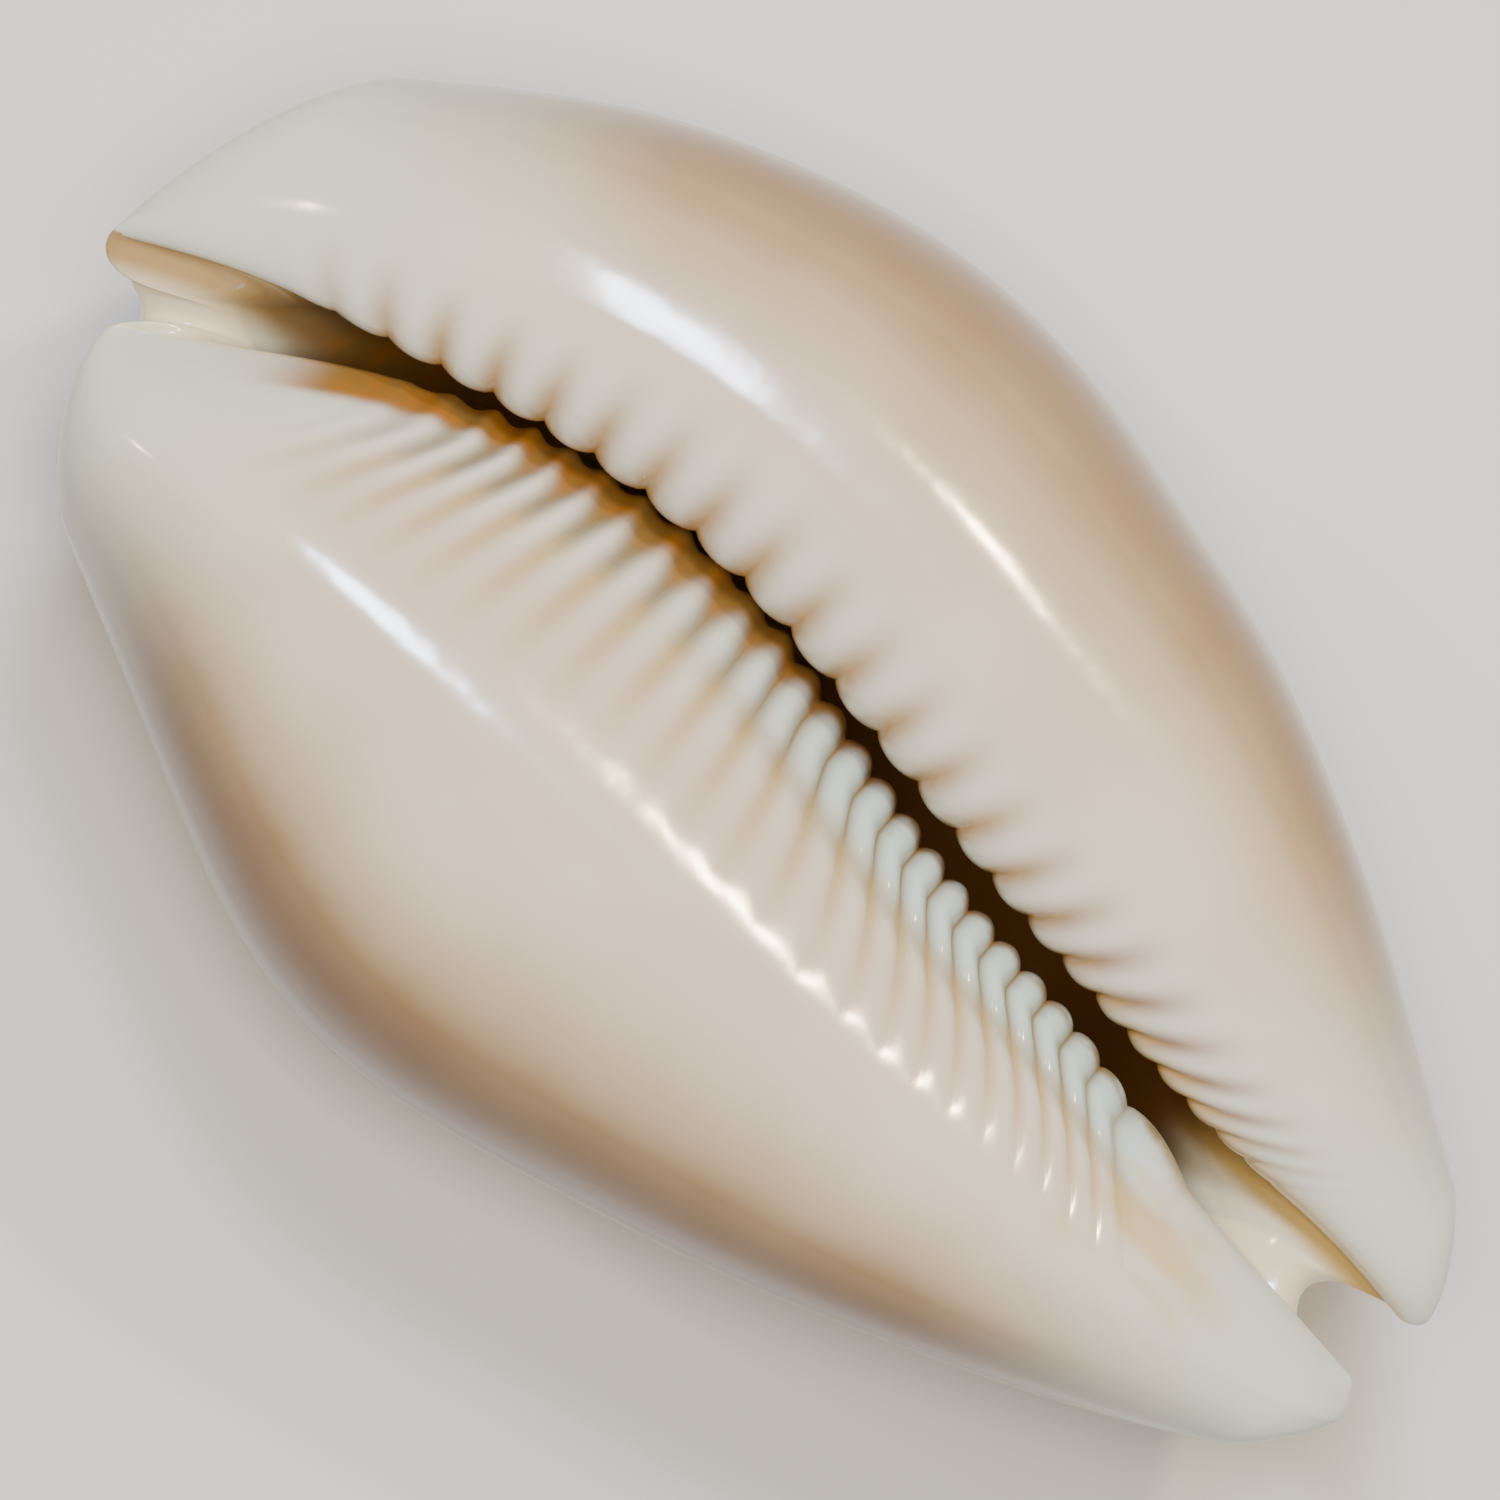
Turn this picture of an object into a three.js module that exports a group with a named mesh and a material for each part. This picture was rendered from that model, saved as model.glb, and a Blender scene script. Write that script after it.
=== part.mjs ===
// Pacific deer cowrie: one empty sea shell, grown as a single piece.
//
// The shell lies on its back with the slit opening up, as it was photographed.
// +X runs to the front (siphon) end, +Y to the outer lip, +Z up out of the slit.
// Units are millimetres. The shell rests on a small flat spot of its back at z = 0.
//
// The wall is one rolled sheet. Each section across the shell is a loop: the outside
// runs from the outer lip round the back to the inner lip, and the inside returns the
// same way, so the two lips face each other across the open slit. At the two ends
// the outside and the inside meet in a rounded rim that leaves the canals open.

import * as THREE from "three";
import { ParametricGeometry } from "three/addons/geometries/ParametricGeometry.js";
import { mergeVertices } from "three/addons/utils/BufferGeometryUtils.js";

const { clamp, degToRad, lerp, smoothstep } = THREE.MathUtils;

const HALF_LENGTH = 30;
const GROUND = 0; // the back dips under this level and is worn off flat there

// Stations along the shell are counted in teeth. Whole numbers are the grooves.
const TEETH = 26;
const TOOTH_STATIONS = 3;
const END_STATIONS = 10; // stations between the last groove and the rim, at each end
const END_SPAN = 9; // the same stretch, counted in teeth

// Points round the section, for the outside and again for the inside.
const LIP_POINTS = 5; // on each lip, from its edge to its crest
const BACK_POINTS = 15; // round the back, from crest to crest
const SIDE_POINTS = 2 * LIP_POINTS + BACK_POINTS;
const CREST = BACK_POINTS / SIDE_POINTS; // crest's place between the back (0) and an edge (1)

// A smooth curve (uniform cubic B-spline) over evenly spaced control values.
function rail(start, step, values) {
  const last = values.length - 1;
  const at = (index) => {
    if (index < 0) return 2 * values[0] - values[1];
    if (index > last) return 2 * values[last] - values[last - 1];
    return values[index];
  };
  return (x) => {
    const along = (x - start) / step;
    const cell = clamp(Math.floor(along), 0, last - 1);
    const t = along - cell;
    const before = (1 - t) ** 3 * at(cell - 1);
    const here = (3 * t ** 3 - 6 * t ** 2 + 4) * at(cell);
    const next = (-3 * t ** 3 + 3 * t ** 2 + 3 * t + 1) * at(cell + 1);
    const after = t ** 3 * at(cell + 2);
    return (before + here + next + after) / 6;
  };
}

// Curves over x, from the spire end to the front end, one value every 5 mm.
const alongShell = (...values) => rail(-HALF_LENGTH, 5, values);

// The outline seen from above.
const outerMargin = alongShell(5.8, 9.9, 13.7, 16, 17.6, 18.2, 17.7, 16.3, 15.2, 12.9, 10.3, 7, 4);
const innerMargin = alongShell(
  -8.4, -10.5, -12.9, -15.3, -17.5, -18.3, -17.5, -16.1, -14.7, -12.8, -10.7, -8.2, -5.3,
);

// Heights: the highest line of the base, the widest level and the lowest line of the back.
const baseHeight = alongShell(25.4, 27.4, 28.5, 28.9, 29.1, 29.1, 29.1, 29, 28.8, 28.5, 28.1, 27.4, 25.8);
const marginHeight = alongShell(23.5, 21.5, 19.6, 18.4, 17.8, 17.6, 17.7, 18.2, 19, 20.1, 21.6, 23.2, 24.4);
const backHeight = alongShell(19.5, 9.3, 4.2, 1.4, 0.1, -0.55, -0.6, 0.4, 2.4, 5.2, 9, 14.4, 21);

// How full the base and the back are against an ellipse.
const BASE_FULLNESS = 0.46;
const BACK_FULLNESS = 0.06;

// Edges of the two lips, and how far the lip rolls down and in to them.
const outerLip = alongShell(-2.2, 0.5, 1.7, 3.1, 3.95, 4.05, 3.4, 2.7, 2, 1.65, 1, 1.4, 0.7);
const innerLip = alongShell(-5.6, -2.9, 0.6, 3, 4, 4.2, 3.1, 1.8, 1, 0.65, -1, -1.4, -1.9);
const outerRollWidth = alongShell(2.4, 3.6, 4.4, 4.8, 5, 5, 5, 4.9, 4.8, 4.6, 3.9, 2.8, 1.6);
const innerRollWidth = alongShell(3, 5, 7.4, 9.4, 10.4, 10.6, 9.6, 8.4, 7.6, 6.8, 5.4, 3.8, 1.8);
const outerRollDrop = alongShell(1.2, 1.3, 2.4, 3.2, 3.4, 3.4, 3.4, 3.3, 3.2, 3, 2.4, 1.5, 1.2);
const innerRollDrop = alongShell(1.6, 2.4, 4.4, 6, 6.4, 6.4, 5.8, 5, 4.4, 3.8, 2.8, 1.7, 1.4);
const OUTER_POWER = 2.4; // roundness of the rolls: 2 is an ellipse, more is squarer
const INNER_POWER = 1.6;

// How far the inner lip slopes into its canal (1) instead of rolling straight down (0).
const innerSlope = alongShell(1, 1, 0.5, 0.1, 0, 0, 0, 0, 0, 0, 0.1, 0.3, 0.3);

// The hollow: its two side walls, its widest level and its floor under the back.
const hollowOuter = alongShell(-3.6, -1.15, 4, 12.4, 14.6, 15.2, 14.8, 13.4, 11.6, 8.4, 3.4, 1.3, 1);
const hollowInner = alongShell(-5.4, -1.8, -3, -11.6, -14.3, -15.2, -14.6, -13, -11, -8, -3.6, -2.4, -3);
const hollowLevel = alongShell(24, 25.8, 20.4, 13.4, 12.4, 12, 12, 12.6, 13.8, 16, 23.6, 25.7, 24);
const hollowFloor = alongShell(23.4, 26, 14.5, 3.4, 2.2, 1.8, 2, 2.8, 4.6, 7, 21.8, 25.3, 23.2);
const HOLLOW_ROOF = 0.9; // height of its upper half as a share of the room under the lips

// Where the lips' undersides meet the hollow, in degrees: 0 is its outer wall, 180 its inner.
const outerHollowAngle = alongShell(-45, -45, 20, 50, 50, 50, 50, 50, 50, 50, 30, -20, -20);
const innerHollowAngle = alongShell(225, 225, 190, 165, 165, 165, 165, 165, 165, 165, 180, 200, 200);
const UNDERSIDE_BEND = 0.35; // how firmly an underside follows the lip and the wall it joins

// Curves round the section: inner lip edge (-1), back (0), outer lip edge (1).
const roundSection = (...values) => rail(-1, 0.25, values);

// Where the rim lies along the shell, how far the wall thins towards it, and its place
// between the inside (0) and the outside (1).
const spireEnd = {
  x: roundSection(-26.8, -27.6, -28, -26.4, -28.2, -28.9, -29.9, -30.1, -28.4),
  rimLength: roundSection(3, 3, 3, 4, 5, 4, 2.4, 2.2, 2),
  rimPlace: roundSection(0.2, 0.2, 0.3, 0.2, 0.1, 0.15, 0.3, 0.65, 0.5),
};
const frontEnd = {
  x: roundSection(29.2, 30, 30.1, 27.4, 25.3, 27.6, 30, 29.9, 28.9),
  rimLength: roundSection(2, 2, 2, 1.5, 1.2, 1.5, 2, 2, 2),
  rimPlace: roundSection(0.4, 0.45, 0.4, 0.2, 0.1, 0.2, 0.5, 0.5, 0.45),
};

// Where each second groove crosses the edge of its lip.
const alongTeeth = (...values) => rail(0, 2, values);
const outerGroove = alongTeeth(
  -24.2, -20.2, -16.2, -12.3, -7.8, -3.1, 1.7, 6, 9.9, 13.5, 16.7, 19.8, 22.6, 24.6,
);
const innerGroove = alongTeeth(
  -19.8, -16.4, -13.7, -10.7, -7.2, -3.6, -0.5, 2.7, 5.6, 8.3, 11.1, 13.8, 17, 20.5,
);

// How far the grooves lean along the shell for each millimetre away from the edge.
const outerLean = alongTeeth(-1, -0.8, -0.5, -0.25, 0, 0.2, 0.4, 0.7, 1, 1.4, 1.8, 1.8, 1.2, 0.8);
const innerLean = alongTeeth(-1, -0.8, -0.6, -0.4, -0.1, 0.1, 0.5, 1, 1.3, 1.4, 1.5, 1.5, 1.3, 1);
const OUTER_LEAN_REACH = 3;
const INNER_LEAN_START = 1; // the inner grooves run straight this far and then bend
const INNER_LEAN_REACH = 3.6;
const INNER_LEAN_BEND = 1.3; // above 1 the bend starts gently

// Height of the teeth over their grooves.
const outerToothHeight = alongTeeth(
  0, 0.3, 0.4, 0.45, 0.45, 0.45, 0.42, 0.4, 0.4, 0.38, 0.35, 0.25, 0, 0,
);
const innerToothHeight = alongTeeth(
  0, 0.3, 0.35, 0.35, 0.35, 0.4, 0.45, 0.5, 0.5, 0.45, 0.4, 0.35, 0.25, 0,
);
const TOOTH_LEVEL = 0.7; // share of the height that is cut into the lip
const BROAD = 0.7; // power of the tooth's shape: broad lumps with narrow grooves
const THIN = 2.4; // and thin ridges with wide gaps, near the spire on the inner lip
const BROADENING = [6, 14]; // the teeth over which the inner lip's ridges turn to lumps

// How far the teeth run over the lips and under them, in millimetres from the edge.
const OUTER_TOOTH_REACH = [-0.8, 2.8];
const OUTER_TOOTH_FADE = 2;
const SPIRE_RIDGE_REACH = [0.8, 5.5];
const FRONT_LUMP_REACH = [1.4, 2.5];

// Behind the front half's lumps run a shallow furrow and then low ridges. Both are shares
// of the height of a tooth.
const FURROW_PLACE = 2.4;
const FURROW_WIDTH = 0.5;
const FURROW_SHARE = 0.45;
const LOW_RIDGE_START = [1.8, 2.8];
const LOW_RIDGE_REACH = [3, 7];
const LOW_RIDGE_SHARE = 0.35;
const UNDERSIDE = 10; // usual way from an edge to the hollow, under a lip
const UNDERSIDE_REACH = [0.5, 3.5];

// From this groove on, the inner lip ends in one broad ridge, raised this much more.
const TERMINAL_RIDGE = 24;
const TERMINAL_HEIGHT = 0.25;
const TERMINAL_REACH = [0, 2.2];

// A quarter turn of the lip's roll, from its crest (0) to its edge (1).
const rollPower = (side) => 2 / (side > 0 ? OUTER_POWER : INNER_POWER);
const quarterSine = (t, side) => Math.sin((t * Math.PI) / 2) ** rollPower(side);
const quarterCosine = (t, side) => Math.cos((t * Math.PI) / 2) ** rollPower(side);
const OUTER_ROLL = 5; // usual widths of the rolls, which set how far the teeth reach
const INNER_ROLL = 8.6;

// Height of the outside at an angle: 0 at the outer margin, a quarter turn at the base.
function bodyHeight(x, angle) {
  const rise = baseHeight(x) - marginHeight(x);
  const fall = marginHeight(x) - backHeight(x);
  const side = Math.sin(angle);
  const mean = (rise + fall) / 2 + (side * (rise - fall)) / 2;
  const fullness = (BASE_FULLNESS + BACK_FULLNESS) / 2 + (side * (BASE_FULLNESS - BACK_FULLNESS)) / 2;
  return marginHeight(x) + side * mean * (1 + fullness * Math.cos(angle) ** 2);
}

const bodyCentre = (x) => (outerMargin(x) + innerMargin(x)) / 2;
const bodyHalfWidth = (x) => (outerMargin(x) - innerMargin(x)) / 2;
const bodyAngle = (x, y) => Math.acos(clamp((y - bodyCentre(x)) / bodyHalfWidth(x), -1, 1));

// A lip between its crest (t = 0) and its edge (t = 1). Side is 1 outer, -1 inner.
function lipPoint(x, t, side) {
  const edge = side > 0 ? outerLip(x) : innerLip(x);
  const width = side > 0 ? outerRollWidth(x) : innerRollWidth(x);
  const drop = side > 0 ? outerRollDrop(x) : innerRollDrop(x);
  const slope = side > 0 ? 0 : innerSlope(x);
  const y = edge + side * width * (1 - lerp(quarterSine(t, side), t, slope));
  const fall = lerp(1 - quarterCosine(t, side), t ** 2, slope);
  return new THREE.Vector2(y, bodyHeight(x, bodyAngle(x, y)) - drop * fall);
}

// The direction in which a lip's roll ends: straight down, or sloping in a canal.
function lipEndRun(x, side) {
  if (side > 0) return new THREE.Vector2(0, -1);
  const across = innerRollWidth(x) * innerSlope(x);
  return new THREE.Vector2(across, -2 * innerRollDrop(x)).normalize();
}

// The outside, round the section from the inner edge (-1) over the back to the outer (1).
function outsidePoint(x, round) {
  const part = Math.abs(round);
  if (part > CREST) {
    return lipPoint(x, (part - CREST) / (1 - CREST), Math.sign(round));
  }
  const outerCrest = bodyAngle(x, outerLip(x) + outerRollWidth(x));
  const innerCrest = bodyAngle(x, innerLip(x) - innerRollWidth(x)) - 2 * Math.PI;
  const share = round / CREST;
  const odd = ((outerCrest - innerCrest) / 2) * share;
  const even = ((outerCrest + innerCrest + Math.PI) / 2) * share ** 2;
  const angle = -Math.PI / 2 + odd + even;
  return new THREE.Vector2(bodyCentre(x) + bodyHalfWidth(x) * Math.cos(angle), bodyHeight(x, angle));
}

// The hollow's wall at an angle, and the way the wall runs there.
function hollowWall(x, angle) {
  const centre = (hollowOuter(x) + hollowInner(x)) / 2;
  const halfWidth = (hollowOuter(x) - hollowInner(x)) / 2;
  const level = hollowLevel(x);
  const room = (lipPoint(x, 1, 1).y + lipPoint(x, 1, -1).y) / 2 - level;
  const height = Math.sin(angle) > 0 ? HOLLOW_ROOF * room : level - hollowFloor(x);
  const wall = new THREE.Vector2(centre + halfWidth * Math.cos(angle), level + height * Math.sin(angle));
  const along = new THREE.Vector2(-halfWidth * Math.sin(angle), height * Math.cos(angle)).normalize();
  return { wall, along };
}

// The inside, in step with the outside: undersides of the lips, then the hollow.
function insidePoint(x, round) {
  const part = Math.abs(round);
  const side = Math.sign(round);
  const outerAngle = degToRad(outerHollowAngle(x));
  const innerAngle = degToRad(innerHollowAngle(x));
  if (part <= CREST) {
    const share = round / CREST;
    const odd = ((outerAngle - innerAngle + 2 * Math.PI) / 2) * share;
    const even = ((outerAngle + innerAngle - Math.PI) / 2) * share ** 2;
    return hollowWall(x, -Math.PI / 2 + odd + even).wall;
  }
  const edge = lipPoint(x, 1, side);
  const { wall, along } = hollowWall(x, side > 0 ? outerAngle : innerAngle);
  const handle = edge.distanceTo(wall) * UNDERSIDE_BEND;
  const under = new THREE.CubicBezierCurve(
    wall,
    wall.clone().addScaledVector(along, side * handle),
    edge.clone().addScaledVector(lipEndRun(x, side), handle),
    edge,
  );
  return under.getPoint((part - CREST) / (1 - CREST));
}

// How far the wall is drawn together at an end: 1 is full thickness, 0 is the rim itself.
function rimOpening(distance, rimLength) {
  const share = clamp(distance / rimLength, 0, 1);
  return Math.sqrt(1 - (1 - share) ** 2);
}

// A point of the smooth shell without teeth.
function smoothPoint(x, round, inside) {
  const outer = outsidePoint(x, round);
  const inner = insidePoint(x, round);
  const end = x < 0 ? spireEnd : frontEnd;
  const opening = rimOpening(Math.abs(end.x(round) - x), end.rimLength(round));
  const rim = inner.clone().lerp(outer, end.rimPlace(round));
  const section = rim.lerp(inside ? inner : outer, opening);
  return new THREE.Vector3(x, section.x, Math.max(section.y, GROUND));
}

// Distance from the edge of a lip, seen from above, at a place round the section.
function edgeDistance(round) {
  const part = Math.max((Math.abs(round) - CREST) / (1 - CREST), 0);
  return (round > 0 ? OUTER_ROLL : INNER_ROLL) * (1 - quarterSine(part, round));
}

// The place along the shell of a station, which follows the leaning grooves on the lips.
function stationPlace(station, round, inside) {
  const tooth = clamp(station, 0, TEETH);
  const lean = inside ? 0 : 1;
  const distance = edgeDistance(round);
  const outerShift = OUTER_LEAN_REACH * (1 - Math.exp(-distance / OUTER_LEAN_REACH));
  const beyond = Math.max(distance - INNER_LEAN_START, 0) / INNER_LEAN_REACH;
  const innerShift = INNER_LEAN_REACH * (1 - Math.exp(-(beyond ** INNER_LEAN_BEND)));
  const outerX = outerGroove(tooth) + lean * outerLean(tooth) * outerShift;
  const innerX = innerGroove(tooth) + lean * innerLean(tooth) * innerShift;
  const x = lerp(innerX, outerX, smoothstep(round, -CREST, CREST));
  if (station === tooth) return x;
  const end = station < 0 ? spireEnd : frontEnd;
  const left = 1 - Math.abs(station - tooth) / END_SPAN;
  return lerp(end.x(round), x, left ** 2);
}

const fadeOut = (distance, [start, end]) => 1 - smoothstep(distance, start, end);

// Shape of one tooth from groove (0) to groove (1).
const toothShape = (phase, power) => Math.abs(Math.sin(Math.PI * phase)) ** power;

// Lift of the outer lip's teeth at a distance from its edge.
function outerTooth(station, distance) {
  const reach = fadeOut(distance, OUTER_TOOTH_REACH) ** OUTER_TOOTH_FADE;
  return outerToothHeight(station) * (toothShape(station, BROAD) - TOOTH_LEVEL) * reach;
}

// Lift of the inner lip's: thin ridges near the spire, broad lumps to the front, one ridge.
function innerTooth(station, distance) {
  const front = smoothstep(station, ...BROADENING);
  const lumpReach = FRONT_LUMP_REACH.map((end, i) => lerp(SPIRE_RIDGE_REACH[i], end, front));
  const lump = fadeOut(distance, lumpReach);
  const low = smoothstep(distance, ...LOW_RIDGE_START) * fadeOut(distance, LOW_RIDGE_REACH);
  const reach = lump + LOW_RIDGE_SHARE * front * low;
  const furrow = front * Math.exp(-(((distance - FURROW_PLACE) / FURROW_WIDTH) ** 2));
  const terminal = station > TERMINAL_RIDGE;
  const phase = terminal ? (station - TERMINAL_RIDGE) / 2 : station;
  const shape = toothShape(phase, lerp(THIN, BROAD, front)) - TOOTH_LEVEL;
  const tooth = innerToothHeight(station) * (shape * reach - FURROW_SHARE * furrow);
  if (!terminal) return tooth;
  return tooth + TERMINAL_HEIGHT * toothShape(phase, BROAD) * fadeOut(distance, TERMINAL_REACH);
}

// How far the teeth lift the surface at a place. Under the lips they fade out inwards.
function toothLift(station, round, inside) {
  const part = (Math.abs(round) - CREST) / (1 - CREST);
  if (part <= 0 || station < 0 || station > TEETH) return 0;
  const distance = inside ? 0 : edgeDistance(round);
  const tooth = round > 0 ? outerTooth(station, distance) : innerTooth(station, distance);
  return inside ? tooth * fadeOut((1 - part) * UNDERSIDE, UNDERSIDE_REACH) : tooth;
}

// The loop round a section: 0 to 0.5 is the outside, from the outer lip's edge to the
// inner lip's, and 0.5 to 1 is the way back on the inside.
function loopPlace(loop) {
  const turn = (loop + 1) % 1;
  return turn < 0.5 ? { round: 1 - 4 * turn, inside: false } : { round: 4 * turn - 3, inside: true };
}

function smoothSurface(loop, station) {
  const { round, inside } = loopPlace(loop);
  return smoothPoint(stationPlace(station, round, inside), round, inside);
}

// The finished surface: the smooth shell, lifted along its normal by the teeth.
function shellSurface(loop, station) {
  const point = smoothSurface(loop, station);
  const { round, inside } = loopPlace(loop);
  const lift = toothLift(station, round, inside);
  if (lift === 0) return point;
  const step = 1e-4; // small enough for the slopes that make the normal
  const across = smoothSurface(loop + step, station).sub(smoothSurface(loop - step, station));
  const along = smoothSurface(loop, station + step).sub(smoothSurface(loop, station - step));
  return point.addScaledVector(along.cross(across).normalize(), lift);
}

// Stations are close on the teeth and run out to the rims in even steps.
function stationAt(index) {
  const fromGroove = index - END_STATIONS;
  const toothed = TEETH * TOOTH_STATIONS;
  const past = Math.max(fromGroove - toothed, 0);
  const before = Math.min(fromGroove, 0);
  const onTeeth = clamp(fromGroove, 0, toothed) / TOOTH_STATIONS;
  return onTeeth + ((before + past) * END_SPAN) / END_STATIONS;
}

function makeShell() {
  const stations = TEETH * TOOTH_STATIONS + 2 * END_STATIONS;
  const surface = (u, v, target) => {
    target.copy(shellSurface(1 - u, stationAt(Math.round(v * stations))));
  };
  const sheet = new ParametricGeometry(surface, 2 * SIDE_POINTS, stations);
  sheet.deleteAttribute("normal");
  sheet.deleteAttribute("uv");
  const geometry = mergeVertices(sheet);
  geometry.computeVertexNormals();
  const porcelain = new THREE.MeshStandardMaterial({ color: 0xd2c8b9, roughness: 0.18 });
  const shell = new THREE.Mesh(geometry, porcelain);
  shell.name = "shell";
  return shell;
}

const cowrie = new THREE.Group();
cowrie.add(makeShell());

export default cowrie;
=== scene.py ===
import math

import bmesh
import bpy
import numpy as np
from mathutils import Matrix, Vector


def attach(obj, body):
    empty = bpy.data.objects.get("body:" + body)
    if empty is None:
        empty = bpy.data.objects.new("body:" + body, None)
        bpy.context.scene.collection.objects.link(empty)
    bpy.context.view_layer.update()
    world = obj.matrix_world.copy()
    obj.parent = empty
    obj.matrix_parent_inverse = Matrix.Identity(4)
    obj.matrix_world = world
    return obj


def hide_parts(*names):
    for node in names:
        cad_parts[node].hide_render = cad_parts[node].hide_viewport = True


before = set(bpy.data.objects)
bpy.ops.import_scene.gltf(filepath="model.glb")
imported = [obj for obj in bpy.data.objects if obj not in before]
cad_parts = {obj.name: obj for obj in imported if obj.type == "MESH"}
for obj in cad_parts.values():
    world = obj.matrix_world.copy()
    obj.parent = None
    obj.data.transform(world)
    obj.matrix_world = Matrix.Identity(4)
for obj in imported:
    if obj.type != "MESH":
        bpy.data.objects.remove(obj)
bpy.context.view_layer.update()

# The shell. It is one piece of aragonite that the animal lays down layer by layer: the last
# whorl wraps all the others, and both lips roll in and grow teeth along the slit in the base.
# Here its wall is one closed sheet, rolled round the slit, and it lies on its humped back.

# Lengths are in millimetres, with +X the front end, +Y the outer lip and +Z the base.
MM = 0.001
HALF_LENGTH = 30
GROUND = 0


def rail(start, step, values):
    """A smooth curve (uniform cubic B-spline) over evenly spaced control values."""
    first = 2 * values[0] - values[1]
    last = 2 * values[-1] - values[-2]
    points = np.array([first, *values, last])

    def curve(x):
        along = (np.asarray(x, float) - start) / step
        cell = np.clip(np.floor(along).astype(int), 0, len(values) - 2)
        t = along - cell
        return (
            (1 - t) ** 3 * points[cell]
            + (3 * t**3 - 6 * t**2 + 4) * points[cell + 1]
            + (-3 * t**3 + 3 * t**2 + 3 * t + 1) * points[cell + 2]
            + t**3 * points[cell + 3]
        ) / 6

    return curve


def along_shell(*values):
    """A curve over the shell's length, with values at even steps from the spire end."""
    return rail(-HALF_LENGTH, 2 * HALF_LENGTH / (len(values) - 1), values)


# The outside is widest at the margins, and is built up from there to the base and the back.
outer_margin = along_shell(
    5.8, 9.9, 13.7, 16, 17.6, 18.2, 17.7, 16.3, 15.2, 12.9, 10.3, 7, 4
)
inner_margin = along_shell(
    -8.4, -10.5, -12.9, -15.3, -17.5, -18.3, -17.5, -16.1, -14.7, -12.8, -10.7, -8.2, -5.3
)
base_height = along_shell(
    25.4, 27.4, 28.5, 28.9, 29.1, 29.1, 29.1, 29, 28.8, 28.5, 28.1, 27.4, 25.8
)
margin_height = along_shell(
    23.5, 21.5, 19.6, 18.4, 17.8, 17.6, 17.7, 18.2, 19, 20.1, 21.6, 23.2, 24.4
)
back_height = along_shell(
    19.5, 9.3, 4.2, 1.4, 0.1, -0.55, -0.6, 0.4, 2.4, 5.2, 9, 14.4, 21
)
BASE_FULLNESS = 0.46  # how much fuller than an ellipse the outside is
BACK_FULLNESS = 0.06


def body_centre(x):
    return (outer_margin(x) + inner_margin(x)) / 2


def body_half_width(x):
    return (outer_margin(x) - inner_margin(x)) / 2


def body_angle(x, y):
    return np.arccos(np.clip((y - body_centre(x)) / body_half_width(x), -1, 1))


def body_height(x, angle):
    """Height of the outside at an angle: 0 at the outer margin, a quarter turn at the base."""
    rise = base_height(x) - margin_height(x)
    fall = margin_height(x) - back_height(x)
    side = np.sin(angle)
    mean = (rise + fall + side * (rise - fall)) / 2
    fullness = (BASE_FULLNESS + BACK_FULLNESS + side * (BASE_FULLNESS - BACK_FULLNESS)) / 2
    return margin_height(x) + side * mean * (1 + fullness * np.cos(angle) ** 2)


# Each lip rolls from its crest down into the slit, and in the canals it slopes instead.
CREST = 0.6  # place of a lip's crest between the back (0) and the lip's edge (1)
outer_lip = along_shell(-2.2, 0.5, 1.7, 3.1, 3.95, 4.05, 3.4, 2.7, 2, 1.65, 1, 1.4, 0.7)
inner_lip = along_shell(-5.6, -2.9, 0.6, 3, 4, 4.2, 3.1, 1.8, 1, 0.65, -1, -1.4, -1.9)
outer_roll_width = along_shell(2.4, 3.6, 4.4, 4.8, 5, 5, 5, 4.9, 4.8, 4.6, 3.9, 2.8, 1.6)
inner_roll_width = along_shell(3, 5, 7.4, 9.4, 10.4, 10.6, 9.6, 8.4, 7.6, 6.8, 5.4, 3.8, 1.8)
outer_roll_drop = along_shell(1.2, 1.3, 2.4, 3.2, 3.4, 3.4, 3.4, 3.3, 3.2, 3, 2.4, 1.5, 1.2)
inner_roll_drop = along_shell(1.6, 2.4, 4.4, 6, 6.4, 6.4, 5.8, 5, 4.4, 3.8, 2.8, 1.7, 1.4)
inner_slope = along_shell(1, 1, 0.5, 0.1, 0, 0, 0, 0, 0, 0, 0.1, 0.3, 0.3)
OUTER_POWER = 2.4  # roundness of the rolls: 2 is an ellipse, more is squarer
INNER_POWER = 1.6


def mix(low, high, share):
    return low + (high - low) * share


def quarter_sine(t, side):
    power = np.where(side > 0, OUTER_POWER, INNER_POWER)
    return np.sin(np.clip(t, 0, 1) * np.pi / 2) ** (2 / power)


def quarter_cosine(t, side):
    power = np.where(side > 0, OUTER_POWER, INNER_POWER)
    return np.abs(np.cos(np.clip(t, 0, 1) * np.pi / 2)) ** (2 / power)


def lip_point(x, t, side):
    """A lip between its crest (0) and its edge (1). Side is 1 for the outer lip, -1 inner."""
    outer = side > 0
    edge = np.where(outer, outer_lip(x), inner_lip(x))
    width = np.where(outer, outer_roll_width(x), inner_roll_width(x))
    drop = np.where(outer, outer_roll_drop(x), inner_roll_drop(x))
    slope = np.where(outer, 0, inner_slope(x))
    y = edge + side * width * (1 - mix(quarter_sine(t, side), t, slope))
    fall = mix(1 - quarter_cosine(t, side), np.square(t), slope)
    return y, body_height(x, body_angle(x, y)) - drop * fall


def lip_end_run(x, side):
    """The direction in which a lip's roll ends: straight down, or sloping in a canal."""
    run_y = np.where(side > 0, 0, inner_roll_width(x) * inner_slope(x))
    run_z = -2 * np.where(side > 0, outer_roll_drop(x), inner_roll_drop(x))
    length = np.hypot(run_y, run_z)
    return run_y / length, run_z / length


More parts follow.
